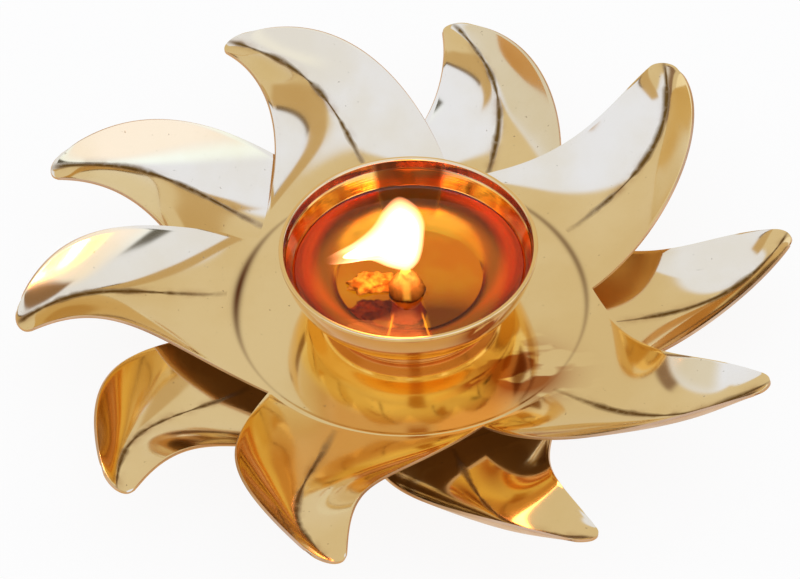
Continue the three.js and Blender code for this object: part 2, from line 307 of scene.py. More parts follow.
def plate(name, bends, start_angle, z):
    """One stamped plate with its flat upper face at height z, in metres."""
    side = np.linspace(0, 1, HALF_COLUMNS + 1) ** 1.2
    v = np.concatenate([-side[:0:-1], side])
    u = np.linspace(0, 1, ROWS + 1)[1:]
    petal_angles = start_angle + 360 / PETALS * np.arange(PETALS)
    columns = (petal_angles[:, None] + root_angle(v[:-1])).ravel()
    disc = disc_rings(columns)
    ring_numbers = numbers(disc)
    points, faces = [disc.reshape(-1, 3)], [quads(np.hstack([ring_numbers, ring_numbers[:, :1]]))]
    crease, along = [np.full(ring_numbers.size, NOTCH_RADIUS)], [np.zeros(ring_numbers.size)]
    count = ring_numbers.size
    for number, (bend, angle) in enumerate(zip(bends, petal_angles)):
        face = turned_about_z(petal(u, v, bend), angle)
        own = count + numbers(face)
        shared = ring_numbers[-1].take(np.arange(len(v)) + number * (len(v) - 1), mode="wrap")
        points.append(face.reshape(-1, 3))
        faces.append(quads(np.vstack([shared, own])))
        crease.append(from_crease(face).ravel())
        along.append(np.repeat(u, len(v)))
        count += own.size
    facts = {"crease": np.concatenate(crease), "along": np.concatenate(along)}
    facts["bead"] = painted_bead_shade(np.concatenate(points))
    facts["dark_patch"] = disc_dark_patch(np.concatenate(points))
    piece = add_piece(name, np.concatenate(points) * MM + [0, 0, z], np.concatenate(faces), facts)
    thick = piece.modifiers.new("sheet", "SOLIDIFY")
    thick.thickness, thick.offset = SHEET, -1
    thick.material_offset = thick.material_offset_rim = 1
    broken = piece.modifiers.new("broken edges", "BEVEL")
    broken.width, broken.segments = EDGE_BREAK, 2
    broken.limit_method, broken.angle_limit = "ANGLE", math.radians(50)
    print(f"{name}: {len(piece.data.polygons)} faces before its thickness")
    return piece


upper_petals = plate("petals_upper", UPPER_BENDS, UPPER_START, UPPER_Z)
lower_petals = plate("petals_lower", LOWER_BENDS, LOWER_START, LOWER_Z)
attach(upper_petals, "upper_petals")
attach(lower_petals, "lamp")
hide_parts("upper_petals")
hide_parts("lower_petals")

# %% [markdown]
# ## Turned pieces
# Base, foot and bowl come off a lathe, so each is a profile spun about the stud. A profile is
# written as its corners, and a helper rounds each corner with a small quadratic arc. A perfectly
# sharp corner never catches the light, and real turned brass has none.


# %% Rounded profiles
def rounded(corners, fillets, steps=6):
    """Corners with each inner one replaced by an arc (1-s)^2 p + 2s(1-s) c + s^2 q.

    p and q lie one fillet before and after the corner c, or 0.45 of a side that is shorter.
    """
    corners = np.asarray(corners, float)
    before, after = corners[:-2] - corners[1:-1], corners[2:] - corners[1:-1]
    size_before = np.linalg.norm(before, axis=1, keepdims=True)
    size_after = np.linalg.norm(after, axis=1, keepdims=True)
    fillets = np.broadcast_to(np.asarray(fillets, float), len(corners) - 2)[:, None]
    cut = np.minimum(fillets, 0.45 * np.minimum(size_before, size_after))
    p = (corners[1:-1] + before / size_before * cut)[:, None]
    q = (corners[1:-1] + after / size_after * cut)[:, None]
    s = np.linspace(0, 1, steps)[None, :, None]
    arcs = p * (1 - s) ** 2 + 2 * s * (1 - s) * corners[1:-1][:, None] + q * s**2
    return np.vstack([corners[:1], arcs.reshape(-1, 2), corners[-1:]])


def refined(profile, longest):
    """Adds points along a profile's straight runs so that none is longer than longest."""
    gaps = np.linalg.norm(np.diff(profile, axis=0), axis=1)
    counts = np.maximum(1, np.ceil(gaps / longest).astype(int))
    starts = np.repeat(profile[:-1], counts, axis=0)
    ends = np.repeat(profile[1:], counts, axis=0)
    share = np.concatenate([np.arange(n) / n for n in counts])[:, None]
    return np.vstack([starts + (ends - starts) * share, profile[-1:]])


# %% [markdown]
# ## The base and the spacer
# Neither shows in the photograph. The base is a low turned foot with a cove, like those under most
# such lamps, and the spacer is a plain ring that keeps the two plates apart.

# %% Base and spacer
SEGMENTS = 192
BASE_RADIUS = 24
BASE_NECK = 16.5
BASE_TOP = 19
BASE_EDGE = 1.2
BOTTOM_WALL = 1.5
SPACER_RADIUS = 9
base_height = top_of("base") / MM
base_corners = [
    [0, 0],
    [BASE_RADIUS, 0],
    [BASE_RADIUS, 1.15 * BASE_EDGE],
    [BASE_RADIUS - BASE_EDGE, 1.7 * BASE_EDGE],
    [(BASE_RADIUS + BASE_NECK) / 2, 0.42 * base_height],
    [BASE_NECK, 0.62 * base_height],
    [BASE_NECK, 0.75 * base_height],
    [BASE_TOP, 0.85 * base_height],
    [BASE_TOP, base_height],
    [STUD_HOLE, base_height],
    [STUD_HOLE, BOTTOM_WALL],
    [0, BOTTOM_WALL],
]
base_fillets = [0.5, 0.5, 0.4, 1.5, 0.8, 0.4, 0.3, 0.25, 0.1, 0.1]
base = spun("turned_base", refined(rounded(base_corners, base_fillets), 1.5) * MM, SEGMENTS)
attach(base, "lamp")
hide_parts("base")

spacer_low, spacer_high = bottom_of("spacer") / MM, top_of("spacer") / MM
spacer_corners = [
    [STUD_HOLE, (spacer_low + spacer_high) / 2],
    [STUD_HOLE, spacer_low],
    [SPACER_RADIUS, spacer_low],
    [SPACER_RADIUS, spacer_high],
    [STUD_HOLE, spacer_high],
    [STUD_HOLE, (spacer_low + spacer_high) / 2],
]
spacer = spun("spacer_ring", rounded(spacer_corners, 0.3) * MM, SEGMENTS // 2)
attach(spacer, "lamp")
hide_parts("spacer")

# %% [markdown]
# ## The foot and the bowl
# The foot is short and almost straight, and the bowl springs from it over a sharp belly corner.
# Inside is a flat floor and a round basin, and higher up the lathe left two small steps. The
# attribute "inside" marks the surface that oil and the flame's heat have reached, where the
# inside's painted light and shade go.

# %% Foot and bowl
FOOT_RADIUS = 19.6
FOOT_TOP = 20.8
FOOT_WAIST = 19.3
BOWL_RADIUS = 29.8
LIP = 1.1
BELLY_RADIUS = 24.2
BELLY_HEIGHT = 2.5
FLOOR = 1.0
UPPER_STEP = 2.7
LOWER_STEP = 6.6
FLOOR_RADIUS = 16.5
disc_z, bowl_z, rim_z = UPPER_Z / MM, BOWL_Z / MM, RIM_Z / MM
foot_height = bowl_z - disc_z
foot_hollow = bottom_of("bowl_foot") / MM + foot_height - FLOOR
foot_corners = [
    [0, foot_hollow],
    [STUD_HOLE, foot_hollow],
    [STUD_HOLE, disc_z],
    [FOOT_RADIUS, disc_z],
    [FOOT_RADIUS, disc_z + 0.15 * foot_height],
    [FOOT_WAIST, disc_z + 0.35 * foot_height],
    [FOOT_WAIST, disc_z + 0.6 * foot_height],
    [FOOT_TOP, disc_z + 0.9 * foot_height],
    [FOOT_TOP, bowl_z],
    [0, bowl_z],
]
foot = spun("turned_foot", refined(rounded(foot_corners, 0.25), 1.5) * MM, SEGMENTS)
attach(foot, "lamp")
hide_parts("bowl_foot")

basin_floor = bowl_z + FLOOR
low_step, high_step = rim_z - LOWER_STEP, rim_z - UPPER_STEP
rim_radius = BOWL_RADIUS - LIP
basin = bezier(
    [
        [FLOOR_RADIUS, basin_floor],
        [19.5, basin_floor + 0.8],
        [rim_radius - 4.2, low_step - 4.0],
        [rim_radius - 2.4, low_step - 0.1],
    ],
    np.linspace(0, 1, 20),
)
step_corners = [
    basin[-1],
    [rim_radius - 2.1, low_step + 0.3],
    [rim_radius - 0.5, high_step - 0.1],
    [rim_radius - 0.2, high_step + 0.25],
    [rim_radius, rim_z - 0.25 * LIP],
    [rim_radius + 0.3 * LIP, rim_z],
]
steps = rounded(step_corners, [0.12, 0.12, 0.12, 0.15])
inside = np.vstack([[[0, basin_floor]], basin[:-1], steps])
belly_z = bowl_z + BELLY_HEIGHT
lip_z = rim_z - 0.1 * (rim_z - belly_z)
side = bezier(
    [[BELLY_RADIUS, belly_z], [26.5, belly_z + 2.2], [29.0, lip_z - 4.2], [29.5, lip_z]],
    np.linspace(0, 1, 18)[1:],
)
outside_corners = [
    [0, bowl_z],
    [FOOT_TOP, bowl_z],
    [FOOT_TOP + 0.4, bowl_z + 0.45 * BELLY_HEIGHT],
    [BELLY_RADIUS, belly_z],
    *side.tolist(),
    [BOWL_RADIUS, lip_z + 0.5],
    [BOWL_RADIUS, rim_z],
    [rim_radius + 0.3 * LIP, rim_z],
]
outside = refined(rounded(outside_corners, 0.3), 1.2)
inside = refined(inside, 0.8)[::-1]
bowl_profile = np.vstack([outside, inside])
inside_marks = np.concatenate([np.zeros(len(outside)), np.ones(len(inside))])
bowl = spun("oil_bowl", bowl_profile * MM, SEGMENTS, {"inside": inside_marks})
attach(bowl, "lamp")
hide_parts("bowl")
print(f"bowl: {len(bowl_profile)} profile points, {len(bowl.data.polygons)} faces")

# %% [markdown]
# ## The oil
# Oil is a still liquid with a flat top, but it climbs a little where it touches the brass. That
# rim, the meniscus, is what makes a liquid look wet. The oil is one more spun profile: over the
# top, and back along the bowl's own inside, a hair's breadth into the brass so that no film of air
# is left between them.

# %% Oil
MENISCUS_RISE = 0.35
MENISCUS_REACH = 0.7
INTO_BRASS = 0.06
oil_level = OIL_Z / MM - 0.05
wetted = inside[inside[:, 1] < oil_level] + [INTO_BRASS, -INTO_BRASS]
wetted[-1, 0] = 0
wall_radius = np.interp(oil_level, inside[::-1, 1], inside[::-1, 0]) + INTO_BRASS
top_radius = wall_radius * (1 - np.linspace(1, 0, 60) ** 2.0)
top_height = oil_level + MENISCUS_RISE * np.exp((top_radius - wall_radius) / MENISCUS_REACH)
oil_profile = np.vstack([np.stack([top_radius, top_height], -1), wetted])
oil = spun("lamp_oil", oil_profile * MM, SEGMENTS)
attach(oil, "lamp")
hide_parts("oil")
print(f"oil: {wall_radius:.1f} mm in radius, {oil_level - basin_floor:.1f} mm deep")

# %% [markdown]
# ## The cotton wick
# A pinch of cotton is rolled between the palms: a loose ball stands in the oil, half out of it, and
# a stem is twisted out of its top. Ball and stem are one profile about the wick's own axis. Ripples
# that wind round as they rise make it twisted cotton, and stray fibres stand off its surface. What
# was left of the pinch lies beside the ball as a crumpled, oily loose end.

# %% Wick
WICK_X, WICK_Y = -0.8, -7.4
WICK_RADIUS = 4.3
STEM_RADIUS = 1.4
WICK_ROWS = 130
WICK_COLUMNS = 144
WICK_BALL = 11.1
wick_low, wick_high = bottom_of("wick") / MM, top_of("wick") / MM
wick_stem = wick_high - wick_low - WICK_BALL
stem_z = wick_low + WICK_BALL
# Corners of the profile, as shares of the radius and the height of the ball and of the stem.
BALL_SHAPE = [[0, 0], [0.62, 0], [0.86, 0.2], [1, 0.5], [1.02, 0.72], [0.86, 0.88], [0.5, 0.99]]
STEM_SHAPE = [[1.1, 0.2], [1, 0.5], [0.8, 0.85], [0.45, 1], [0, 1]]
ball = np.array(BALL_SHAPE) * [WICK_RADIUS, WICK_BALL] + [0, wick_low]
stem = np.array(STEM_SHAPE) * [STEM_RADIUS, wick_stem] + [0, stem_z]


def evenly(profile, count):
    """The same line with count points at even steps along it."""
    way = np.concatenate([[0], np.cumsum(np.linalg.norm(np.diff(profile, axis=0), axis=1))])
    steps = np.linspace(0, way[-1], count)
    return np.stack([np.interp(steps, way, profile[:, axis]) for axis in (0, 1)], -1)


def cotton(profile, columns):
    """Spins the profile with its radius times 1 + ripples, whose crests wind up with height.

    Three crests on the stem are the plies of the twist, and finer ones are bunches of fibre. The
    ball below is only lumpy. All scale with the radius, so that the poles stay closed.
    """
    angle = np.linspace(0, 2 * np.pi, columns + 1)
    radius, height = profile[:, 0, None], profile[:, 1, None]
    wound = angle + 0.8 * (height - wick_low)
    on_stem = np.clip((height - stem_z + 1.0) / 1.6, 0, 1)
    plies = 0.12 * on_stem * np.cos(3 * wound)
    bunches = 0.012 * np.sin(13 * angle + 0.9 * height + 2 * np.sin(1.3 * height))
    lumps = 0.05 * np.sin(2 * angle + 0.9 * height + 0.6) + 0.035 * np.sin(5 * angle - 1.1 * height)
    radius = radius * (1 + plies + bunches + lumps * (1 - on_stem) - 0.06)
    return round_z(radius, angle, height) + [WICK_X, WICK_Y, 0]


wick_profile = evenly(rounded(np.vstack([ball, stem]), 1.4), WICK_ROWS)
wick_grid = cotton(wick_profile, WICK_COLUMNS)
wick = add_piece("cotton_wick", wick_grid * MM, quads(numbers(wick_grid)))
weld(wick)
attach(wick, "wick")
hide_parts("wick")

# %% The wick's loose end
TAIL_CENTRE = np.array([-8.7, -5.2, 23.1])
TAIL_HALF_SIZE = np.array([5.3, 3.3, 1.7])


def loose_end():
    """A crumpled lump of cotton: an ellipsoid whose size is times 1 + three crossing waves."""
    around = np.linspace(0, 2 * np.pi, 73)
    down = np.linspace(0, np.pi, 37)[:, None]
    x, y = np.sin(down) * np.cos(around), np.sin(down) * np.sin(around)
    z = np.cos(down) + 0 * around
    folds = 0.13 * np.sin(5 * x + 4 * y + 1.0)
    folds += 0.09 * np.sin(9 * y - 6 * x + 2.0 * z)
    folds += 0.05 * np.sin(19 * x + 11 * y)
    return TAIL_CENTRE + TAIL_HALF_SIZE * np.stack([x, y, z], -1) * (1 + folds)[..., None]


tail_grid = loose_end()
wick_tail = add_piece("cotton_tail", tail_grid * MM, quads(numbers(tail_grid)))
weld(wick_tail)
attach(wick_tail, "wick")
print(f"wick: {len(wick.data.polygons)} faces, and {len(wick_tail.data.polygons)} in its loose end")

# %% Stray fibres
FIBRES = 110
FIBRE_RADIUS = 0.035
random = np.random.default_rng(7)


def fibre_points(count):
    """Thin three-sided tubes: each starts on the ball or stem and curls as a bent arc.

    Step k of a fibre is its foot plus k times its slant, plus k squared times its curl.
    """
    row = random.integers(WICK_ROWS // 5, WICK_ROWS - 12, count)
    column = random.integers(0, WICK_COLUMNS, count)
    foot = wick_grid[row, column]
    out = foot - np.stack([np.full(count, WICK_X), np.full(count, WICK_Y), foot[:, 2]], -1)
    out /= np.linalg.norm(out, axis=1, keepdims=True)
    around = np.cross([0, 0, 1], out)
    slant = 0.35 * out + random.normal(0, 0.35, (count, 1)) * around
    slant[:, 2] += random.uniform(-0.1, 0.5, count)
    curl = random.normal(0, 0.07, (count, 3))
    k = np.linspace(0, 1, 6)[:, None, None] * random.uniform(1.2, 2.6, (count, 1))
    spine = foot - 0.08 * out + slant * k + curl * k**2
    sides = np.radians([0, 120, 240])[:, None, None, None]
    thin = FIBRE_RADIUS * (1 - 0.6 * np.linspace(0, 1, 6))[:, None, None]
    ring = np.cos(sides) * around * thin + np.sin(sides) * np.array([0, 0, 1]) * thin
    return np.moveaxis(spine + ring, (0, 1, 2), (2, 1, 0))


fibre_grid = fibre_points(FIBRES)
tube_numbers = np.arange(18).reshape(6, 3)
tube_faces = quads(np.hstack([tube_numbers, tube_numbers[:, :1]]))
fibre_faces = (tube_faces + 18 * np.arange(FIBRES)[:, None, None]).reshape(-1, 4)
fibres = add_piece("cotton_fibres", fibre_grid * MM, fibre_faces)
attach(fibres, "wick")
print(f"{FIBRES} stray fibres")

# %% [markdown]
# ## The flame
# A flame has no surface, only gas that glows more in some places. Two closed shells stand for it:
# a core that hides what is behind it, and a mantle that thins out to nothing at its outline. Both
# share one outline, blown to the left. Where the mantle thins, the glow turns yellow, then orange.

# %% Flame
FLAME_DEPTH = 5.5
FLAME_HEART = np.array([-0.6, 8.5])
FLAME_OUTLINE = [
    [0.4, 0], [2.8, 2.1], [4.0, 5.6], [4.6, 10.5], [4.7, 15.2], [2.8, 20.0], [-0.7, 22.8],
    [-3.9, 20.0], [-7.4, 13.4], [-12.1, 8.4], [-18.9, 3.4], [-13.1, 4.0], [-8.4, 4.0], [-4.0, 1.4],
]
FLAME_RINGS = 32
TONGUE_LENGTH = 18.0
CORE_SCALE = 0.74
flame_foot = bottom_of("flame") / MM


def closed_curve(points, steps):
    """A smooth closed curve through points, each stretch a Catmull-Rom blend of its neighbours.

    With neighbours a, b, c, d the point at t is half of
    2b + (c - a) t + (2a - 5b + 4c - d) t^2 + (3b - a - 3c + d) t^3.
    """
    b = np.asarray(points, float)[:, None]
    a, c, d = np.roll(b, 1, 0), np.roll(b, -1, 0), np.roll(b, -2, 0)
    t = np.linspace(0, 1, steps, endpoint=False)[None, :, None]
    curve = 2 * b + (c - a) * t + (2 * a - 5 * b + 4 * c - d) * t**2 + (3 * b - a - 3 * c + d) * t**3
    return (curve / 2).reshape(-1, 2)


def flame_shell(name, scale):
    """Every section runs from the heart to the outline as an ellipse: plan times cos, depth times sin.

    The attribute "edge" is that cosine: 0 on the flame's flat faces and 1 round its outline. It
    also grows to 1 towards the tip of the tongue, as the distance from the heart to the power 3.
    """
    outline = closed_curve(FLAME_OUTLINE, 8)
    outline = np.vstack([outline, outline[:1]])
    lean = np.linspace(-np.pi / 2, np.pi / 2, FLAME_RINGS + 1)[:, None]
    plan = FLAME_HEART + scale * (outline - FLAME_HEART) * np.cos(lean)[..., None]
    x = plan[..., 0] + WICK_X
    y = scale * FLAME_DEPTH / 2 * np.sin(lean) + WICK_Y + 0 * plan[..., 0]
    points = np.stack([x, y, plan[..., 1] + flame_foot], -1)
    far = np.clip(np.linalg.norm(plan - FLAME_HEART, axis=-1) / TONGUE_LENGTH, 0, 1) ** 3
    edge = 1 - (1 - np.cos(lean)) * (1 - far)
    shell = add_piece(name, points * MM, quads(numbers(points)), {"edge": edge})
    weld(shell)
    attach(shell, "wick")
    return shell


flame_mantle = flame_shell("flame_mantle", 1.0)
flame_core = flame_shell("flame_core", CORE_SCALE)
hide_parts("flame")
print(f"flame: {len(flame_mantle.data.polygons)} faces in each of two shells")

# %% [markdown]
# ## Polished brass
# Polished brass is a mirror that tints what it shows, so most of its colour here is the studio
# and the other petals seen in it. What makes it metal and not chrome plastic is small: turning
# marks or polishing haze in the roughness, a very slight waviness of the pressed sheet, and
# painted shade in each crease: a dark line along it and a soft shadow beside it.
#
# A finish is a net of nodes, and wiring them one by one hides the idea. So a small class adds a
# node and returns what it gives out, and a finish then reads like a sum. The scale of a noise is
# in features per metre, the attribute "crease" is in millimetres, and other lengths in metres.


# %% The nodes of a finish
class Recipe:
    """The nodes of one material or world. Each call adds a node and returns its output.

    A value is a socket of another node, a number, or an (r, g, b) where a colour is wanted.
    """

    def __init__(self, owner):
        owner.use_nodes = True
        self.owner = owner
        self.tree = owner.node_tree
        self.shader = self.tree.nodes.get("Principled BSDF")

    def node(self, kind):
        """A bare node of a kind."""
        return self.tree.nodes.new("ShaderNode" + kind)

    def feed(self, socket, value):
        """Links another node's socket to this one, or sets this one to a constant."""
        if isinstance(value, bpy.types.NodeSocket):
            self.tree.links.new(value, socket)
        else:
            socket.default_value = (*value, 1) if socket.type == "RGBA" else value

    def shade(self, **inputs):
        """Feeds the shader; an input's name is written with _ for its spaces."""
        for name, value in inputs.items():
            self.feed(self.shader.inputs[name.replace("_", " ")], value)

    def where(self):
        """Object coordinates: the same on a piece wherever it is carried."""
        return self.node("TexCoord").outputs["Object"]

    def parts(self, vector):
        """The x, y and z of a vector."""
        node = self.node("SeparateXYZ")
        self.feed(node.inputs[0], vector)
        return node.outputs[:3]

    def attribute(self, name):
        """The number that a mesh carries on each point under this name."""
        node = self.node("Attribute")
        node.attribute_name = name
        return node.outputs["Fac"]

    def math(self, operation, first, second=None, clamp=False):
        """One sum of two values, or of one; clamp keeps it between 0 and 1."""
        node = self.node("Math")
        node.operation, node.use_clamp = operation, clamp
        self.feed(node.inputs[0], first)
        if second is not None:
            self.feed(node.inputs[1], second)
        return node.outputs[0]

    plus = partialmethod(math, "ADD")
    minus = partialmethod(math, "SUBTRACT")
    times = partialmethod(math, "MULTIPLY")
    over = partialmethod(math, "DIVIDE")
    larger = partialmethod(math, "MAXIMUM")
    power = partialmethod(math, "POWER")
    absolute = partialmethod(math, "ABSOLUTE")

    def left(self, value):
        """What is left of one: 1 - value."""
        return self.minus(1.0, value)

    def step(self, value, low, high):
        """A smooth step: 0 at low, 1 at high."""
        node = self.node("MapRange")
        node.interpolation_type = "SMOOTHSTEP"
        for name, number in (("Value", value), ("From Min", low), ("From Max", high)):
            self.feed(node.inputs[name], number)
        return node.outputs["Result"]

    def between(self, value, ends, soft):
        """1 between two ends and 0 elsewhere, with smooth steps that reach soft to either side."""
        rise = self.step(value, ends[0] - soft, ends[0] + soft)
        return self.times(rise, self.left(self.step(value, ends[1] - soft, ends[1] + soft)))

    def noise(self, vector, scale, detail=3.0, stretch=None):
        """Noise over a vector; stretch multiplies each axis before the scale does."""
        if stretch is not None:
            mapping = self.node("Mapping")
            self.feed(mapping.inputs["Scale"], stretch)
            self.feed(mapping.inputs["Vector"], vector)
            vector = mapping.outputs[0]
        node = self.node("TexNoise")
        for name, value in (("Vector", vector), ("Scale", scale), ("Detail", detail)):
            self.feed(node.inputs[name], value)
        return node.outputs["Fac"]

    def ramp(self, value, stops):
        """A colour ramp from (position, colour) stops; a single number stands for a grey."""
        node = self.node("ValToRGB")
        elements = node.color_ramp.elements
        while len(elements) < len(stops):
            elements.new(0.5)
        for element, (position, colour) in zip(elements, stops):
            element.position = position
            element.color = (*([colour] * 3 if np.isscalar(colour) else colour), 1)
        self.feed(node.inputs[0], value)
        return node.outputs[0]

    def mix(self, factor, first, second, blend="MIX"):
        """The first colour at factor 0 and the second at 1, or the two blended in another way."""
        node = self.node("Mix")
        node.data_type, node.blend_type = "RGBA", blend
        for slot, value in ((0, factor), (6, first), (7, second)):
            self.feed(node.inputs[slot], value)
        return node.outputs[2]

    def bump(self, height, depth):
        """Turns a height between 0 and 1 into relief of this depth."""
        node = self.node("Bump")
        self.feed(node.inputs["Distance"], depth)
        self.feed(node.inputs["Height"], height)
        self.feed(self.shader.inputs["Normal"], node.outputs[0])


def new_finish(name):
    """The recipe of a new material."""
    return Recipe(bpy.data.materials.new(name))


# %% Petal brass
BRASS = (0.88, 0.69, 0.35)
BRASS_WARM = (0.83, 0.62, 0.28)
# A soft painted shadow beside each crease.
CREASE_SHADOW = (0.42, 0.22, 0.08)
# A darker brown for one patch of the disc.
DARK_PATCH_BRASS = (0.40, 0.13, 0.03)
# Colour of the painted shade and reflection inside the bead.
BEAD_SHADE = (0.12, 0.038, 0.012)
# Colour of the real specks of oxide and of the painted dark line along each crease.
OXIDE_AND_CREASE_SHADE = (0.16, 0.078, 0.012)
CREASE_LINE_WIDTH = 1.15
CREASE_SHADOW_WIDTH = 2.6
SHEET_WAVE = 0.40 * MM


def petal_brass():
    """Mirror brass of the pressed plates, with painted shade along the creases, haze and fine specks.

    The crease's painted dark line is 1.25 - distance / width, cut to 0..1, with a width that
    wanders, and the painted shadow beside it is the square of 1 - distance / its own width.
    """
    m = new_finish("petal_brass")
    where = m.where()
    crease, along, bead, dark_patch = (m.attribute(name) for name in ("crease", "along", "bead", "dark_patch"))
    patches = m.step(m.noise(where, 32.0, 6.0), 0.36, 0.66)
    colour = m.mix(patches, BRASS, BRASS_WARM)
    outer_part = m.ramp(along, [(0.0, 0.15), (0.3, 1.0), (0.97, 1.0), (1.0, 0.3)])
    wandering = m.ramp(m.noise(where, 110.0, 2.0), [(0.35, 0.22), (0.65, 1.0)])
    # A painted dark line of shade along the crease, fading near the disc and at the tip.
    line = m.minus(1.25, m.over(crease, m.times(wandering, CREASE_LINE_WIDTH)), True)
    grain = m.ramp(m.noise(where, 620.0, 3.0), [(0.30, 0.75), (0.50, 1.0)])
    line = m.times(m.times(line, outer_part), grain)
    # A soft painted shadow beside the crease, in cloudy patches.
    crease_shadow_share = m.minus(1.0, m.over(crease, CREASE_SHADOW_WIDTH), True)
    cloudy = m.ramp(m.noise(where, 190.0, 4.0), [(0.42, 0.0), (0.66, 0.9)])
    crease_shadow_share = m.times(m.times(m.times(crease_shadow_share, crease_shadow_share), outer_part), cloudy)
    colour = m.mix(crease_shadow_share, colour, CREASE_SHADOW)
    # Painted shade and reflection inside the bead.
    colour = m.mix(bead, colour, BEAD_SHADE)
    streaked = m.ramp(m.noise(where, 170.0, 2.0, (0.5, 1.0, 1.0)), [(0.43, 0.0), (0.49, 1.0)])
    # A darker brown, streaky patch on the disc's front right.
    colour = m.mix(m.times(m.times(dark_patch, streaked), 1.7, True), colour, DARK_PATCH_BRASS)
    specks = m.ramp(m.noise(where, 900.0, 2.0), [(0.72, 0.0), (0.78, 0.5)])
    # Dark takes the painted crease shade and the real specks of oxide together.
    dark = m.larger(line, specks)
    haze = m.times(m.noise(where, 120.0, 5.0, (1.0, 1.0, 0.3)), 0.09)
    rough = m.plus(m.plus(haze, m.times(dark, 0.3)), 0.045)
    m.shade(Base_Color=m.mix(dark, colour, OXIDE_AND_CREASE_SHADE), Roughness=rough, Metallic=1.0)
    m.bump(m.noise(where, 34.0, 1.0), SHEET_WAVE)
    return m.owner


# %% Unpolished brass
CUT_DARK = (0.52, 0.29, 0.11)
CUT_PALE = (0.68, 0.39, 0.15)
CUT_GLOW = (0.75, 0.38, 0.12)


def unpolished_brass():
    """The cut edges and the underside of the plates, which never met the polishing wheel.

    A little glow stands for light that the mirrors above and below them go on passing.
    """
    m = new_finish("unpolished_brass")
    where = m.where()
    colour = m.ramp(m.noise(where, 70.0, 5.0), [(0.30, CUT_DARK), (0.70, CUT_PALE)])
    rough = m.plus(m.times(m.noise(where, 300.0, 4.0), 0.3), 0.22)
    m.shade(Base_Color=colour, Roughness=rough, Metallic=1.0)
    m.shade(Emission_Color=CUT_GLOW, Emission_Strength=0.05)
    m.bump(m.noise(where, 420.0, 3.0), 0.012 * MM)
    return m.owner


# %% Turned brass
# The foot's deep orange is painted shade and orange reflection from under the bowl.
FOOT_SHADED_BRASS = (0.68, 0.29, 0.08)
PLAIN_BRASS = (0.62, 0.47, 0.26)
PASSED_ON_GLOW = (0.85, 0.36, 0.08)
LATHE_RINGS = 1800.0
RING_DEPTH = 0.010 * MM


def from_axis(m, x, y):
    """Distance from the lathe's axis: the root of x^2 + y^2."""
    return m.math("SQRT", m.plus(m.times(x, x), m.times(y, y)))


def lathe_rings(m, radius, height):
    """Noise over radius and height alone, so that it makes rings round the axis."""
    lathe = m.node("CombineXYZ")
    m.feed(lathe.inputs[0], radius)
    m.feed(lathe.inputs[2], height)
    return m.noise(lathe.outputs[0], LATHE_RINGS)


def turned_brass(name, colour, ring_depth=RING_DEPTH, passed_on=0.0):
    """Brass off the lathe: fine rings that follow height and radius, over soft patches.

    A little glow, passed_on, stands for light that goes on between mirrors after the last bounce
    that is worked out.
    """
    m = new_finish(name)
    where = m.where()
    x, y, height = m.parts(where)
    shade = m.mix(m.noise(where, 45.0, 2.0), colour, tuple(0.92 * c for c in colour))
    rough = m.plus(m.times(m.noise(where, 150.0, 4.0), 0.1), 0.03)
    m.shade(Base_Color=shade, Roughness=rough, Metallic=1.0)
    m.shade(Emission_Color=PASSED_ON_GLOW, Emission_Strength=passed_on)
    m.bump(lathe_rings(m, from_axis(m, x, y), height), ring_depth)
    return m.owner


# %% [markdown]
# ## The bowl's finish
# Outside, the bowl is polished like the plates, and its belly, sides and lip carry painted
# reflections. Inside, the flame has tinted the brass orange, and painted flame light, in lit and
# shaded patches, adds to that. A dark stripe on the wall behind the flame and a brown film over
# the front are painted dark reflections. Only a strip before the wick is left without the film,
# and two painted bright lines of flame light run along its edges. Low in the basin a faint glow
# stands for the light that real mirrors would go on passing from wall to wall.

# %% Painted dark reflections and bright lines
# A painted dark stripe on the wall behind the flame, and painted shade over the front of the floor:
STRIPE_TURN = math.radians(2)
STRIPE_HALF_WIDTH = math.radians(17)
FRONT_SHADE_AT = (5.0, -15.5)
FRONT_SHADE_SIZE = (16.0, 8.5)
FRONT_SHADE_STRENGTH = 1.5
CLEAN_HALF_WIDTH = 2.6
CLEAN_FLARE = 0.18
CLEAN_SOFT = 1.6


def painted_bowl_shade(m, x, y, radius):
    """Painted shade inside: the stripe, all of the painted dark, and the painted lines of light.

    The stripe is a step in the angle from +Y. The film is exp(-(distance / size)^2), but for the
    clean strip, whose half width grows by CLEAN_FLARE of the distance before the wick.
    """
    turn = m.absolute(m.minus(m.math("ARCTAN2", x, y), STRIPE_TURN))
    stripe = m.left(m.step(turn, 0.85 * STRIPE_HALF_WIDTH, 1.1 * STRIPE_HALF_WIDTH))
    stripe = m.times(stripe, m.step(radius, 19 * MM, 23 * MM))
    squares = []
    for part, middle, size in zip((x, y), FRONT_SHADE_AT, FRONT_SHADE_SIZE):
        away = m.over(m.minus(part, middle * MM), size * MM)
        squares.append(m.times(away, away))
    front_shade = m.power(math.exp(-1), m.plus(*squares))
    before_wick = m.minus(WICK_Y * MM, y)
    aside = m.absolute(m.minus(x, WICK_X * MM))
    aside = m.minus(aside, m.times(before_wick, CLEAN_FLARE))
    clean = CLEAN_HALF_WIDTH * MM
    beyond_strip = m.step(aside, clean, clean + CLEAN_SOFT * MM)
    front_shade = m.times(m.times(front_shade, FRONT_SHADE_STRENGTH, True), beyond_strip)
    # Two painted bright lines along the strip's edges, well before the wick.
    lines = m.between(aside, (0.95 * clean, 1.1 * clean), 0.2 * MM)
    lines = m.times(lines, m.step(before_wick, 3 * MM, 5 * MM))
    return stripe, m.larger(stripe, front_shade), lines


